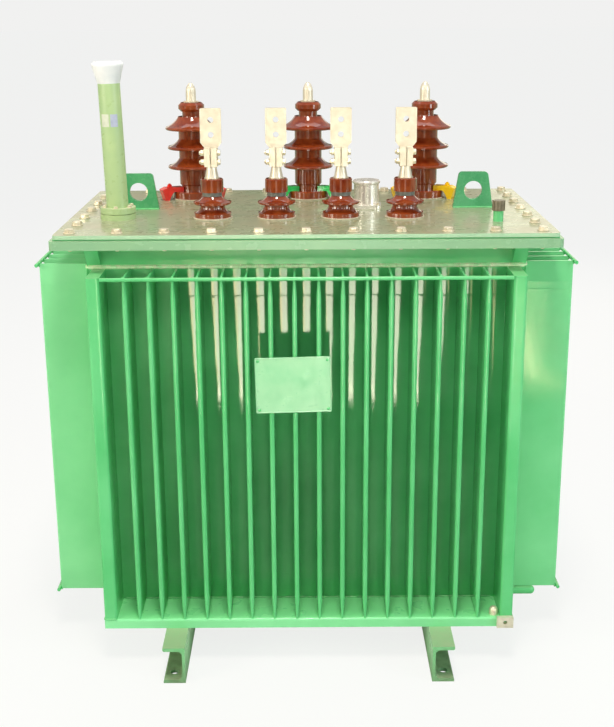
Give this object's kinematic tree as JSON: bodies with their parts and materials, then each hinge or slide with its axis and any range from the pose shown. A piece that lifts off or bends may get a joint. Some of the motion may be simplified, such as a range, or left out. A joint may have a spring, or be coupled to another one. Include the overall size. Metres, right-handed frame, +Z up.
{
  "type": "power transformer",
  "caption": "Sealed oil-filled power transformer: corrugated fin tank on two channels, porcelain bushings, filler tube and lifting lugs on a bolted cover.",
  "frame": {"origin": "on the floor under the middle of the tank", "axes": "+X along the cover's long side, to the right seen from the front; +Y from front to back; +Z up"},
  "size_m": [1.172, 0.89, 1.3006],
  "materials": {
    "tank_green": "glossy enamel",
    "tube_green": "satin paint",
    "plate_green": "satin enamel",
    "cap_white": "matte",
    "brown_porcelain": "gloss glaze",
    "tinned_metal": "dull tin",
    "valve_metal": "satin",
    "seal_rubber": "matte",
    "clamp_red": "gloss paint",
    "clamp_green": "gloss paint",
    "clamp_yellow": "gloss paint"
  },
  "bodies": {
    "root": {"base_channel_left": "tank_green", "base_channel_right": "tank_green", "bottom_frame": "tank_green", "corner_post_back_left": "tank_green", "corner_post_back_right": "tank_green", "corner_post_front_left": "tank_green", "corner_post_front_right": "tank_green", "cover": "tank_green", "cover_gasket": "seal_rubber", "drain_pipe": "tank_green", "earth_pad": "tinned_metal", "filler_plug": "tank_green", "fin_wall_back": "tank_green", "fin_wall_front": "tank_green", "fin_wall_left": "tank_green", "fin_wall_right": "tank_green", "hv_clamps_a": "clamp_red", "hv_clamps_b": "clamp_green", "hv_clamps_c": "clamp_yellow", "hv_porcelain_a": "brown_porcelain", "hv_porcelain_b": "brown_porcelain", "hv_porcelain_c": "brown_porcelain", "hv_terminal_a": "tinned_metal", "hv_terminal_b": "tinned_metal", "hv_terminal_c": "tinned_metal", "lifting_lug_left": "tank_green", "lifting_lug_right": "tank_green", "lv_porcelain_1": "brown_porcelain", "lv_porcelain_2": "brown_porcelain", "lv_porcelain_3": "brown_porcelain", "lv_porcelain_4": "brown_porcelain", "lv_terminal_1": "tinned_metal", "lv_terminal_2": "tinned_metal", "lv_terminal_3": "tinned_metal", "lv_terminal_4": "tinned_metal", "oil_tube": "tube_green", "oil_tube_cap": "cap_white", "rating_plate": "plate_green", "relief_valve": "valve_metal", "stay_rod_back": "tank_green", "stay_rod_front": "tank_green", "stay_rods_left": "tank_green", "stay_rods_right": "tank_green", "tank_body": "tank_green", "tank_rim": "tank_green"}
  },
  "joints": []
}
